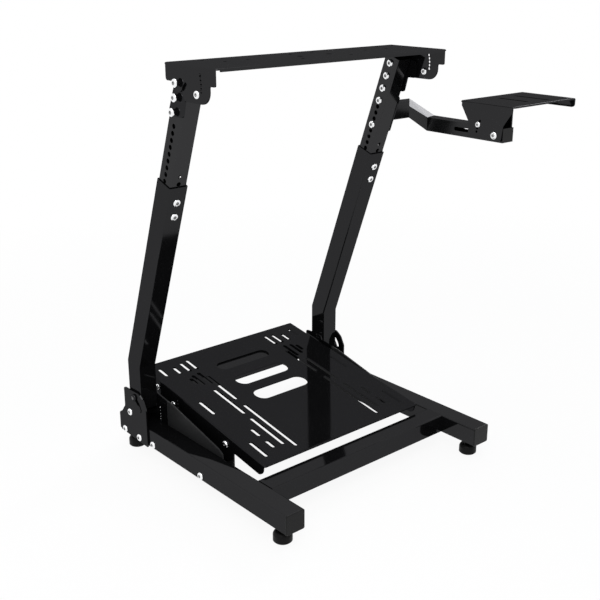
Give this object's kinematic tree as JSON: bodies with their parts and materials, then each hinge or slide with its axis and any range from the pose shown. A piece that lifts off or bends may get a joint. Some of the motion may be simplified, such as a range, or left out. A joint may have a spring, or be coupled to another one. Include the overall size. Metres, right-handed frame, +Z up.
{
  "type": "racing wheel stand",
  "caption": "Folding floor stand for a steering wheel: two rails on rubber feet, a sloping slotted pedal plate, leaning telescopic uprights, a drilled wheel plate and a shifter platform.",
  "frame": {"origin": "on the floor, midway between the two rails and in line with their front ends", "axes": "+X to the driver's right, +Y away from the driver, +Z up"},
  "size_m": [0.7681, 0.5097, 0.7448],
  "materials": {
    "black_paint": "gloss",
    "bright_bolt": "polished",
    "rubber_foot": "satin",
    "plastic_cap": "gloss"
  },
  "bodies": {
    "base_frame": {"left_rail": "black_paint", "right_rail": "black_paint", "left_rail_caps": "plastic_cap", "right_rail_caps": "plastic_cap", "front_left_foot": "rubber_foot", "front_right_foot": "rubber_foot", "rear_left_foot": "rubber_foot", "rear_right_foot": "rubber_foot", "left_outer_hinge_plate": "black_paint", "right_outer_hinge_plate": "black_paint", "left_inner_hinge_plate": "black_paint", "right_inner_hinge_plate": "black_paint", "left_pedal_bracket": "black_paint", "right_pedal_bracket": "black_paint", "front_cross_tube": "black_paint", "rail_bolts": "bright_bolt", "upright_pivot_bolts": "bright_bolt", "pedal_pivot_bolts": "bright_bolt"},
    "lower_uprights": {"left_lower_upright": "black_paint", "right_lower_upright": "black_paint", "clamp_bolts": "bright_bolt", "fold_lock_bolts": "black_paint"},
    "upper_frame": {"left_upper_upright": "black_paint", "right_upper_upright": "black_paint", "left_wheel_bracket": "black_paint", "right_wheel_bracket": "black_paint", "bracket_bolts": "bright_bolt", "bracket_spacers": "black_paint", "shifter_mount": "black_paint", "shifter_mount_bolts": "bright_bolt", "shifter_arm": "black_paint", "shifter_arm_cap": "plastic_cap"},
    "wheel_deck": {"wheel_plate": "black_paint", "wheel_lock_bolts": "bright_bolt"},
    "shifter_slider": {"shifter_carriage": "black_paint", "shifter_pivot_bolt": "bright_bolt"},
    "shifter_deck": {"shifter_platform": "black_paint", "shifter_lock_bolt": "bright_bolt"},
    "pedal_deck": {"pedal_plate": "black_paint", "pedal_support_tube": "black_paint", "wing_bolts": "bright_bolt"}
  },
  "joints": [
    {"name": "upright_fold", "type": "hinge", "parent": "base_frame", "child": "lower_uprights", "pos_m": [0, 0.457, 0.082], "axis": [1, 0, 0], "range_deg": [0, 42]},
    {"name": "upright_height", "type": "slide", "parent": "lower_uprights", "child": "upper_frame", "axis": [0, -0.342, 0.9397], "range_m": [-0.035, 0]},
    {"name": "wheel_plate_tilt", "type": "hinge", "parent": "upper_frame", "child": "wheel_deck", "pos_m": [0, 0.25076, 0.71594], "axis": [1, 0, 0], "range_deg": [0, 20]},
    {"name": "shifter_slide", "type": "slide", "parent": "upper_frame", "child": "shifter_slider", "axis": [0, 1, 0], "range_m": [0, 0.06]},
    {"name": "shifter_tilt", "type": "hinge", "parent": "shifter_slider", "child": "shifter_deck", "pos_m": [0.34, 0.08561, 0.59234], "axis": [1, 0, 0], "range_deg": [-10, 18]},
    {"name": "pedal_tilt", "type": "hinge", "parent": "base_frame", "child": "pedal_deck", "pos_m": [0, 0.239, 0.078], "axis": [1, 0, 0], "range_deg": [-10, 0]}
  ]
}
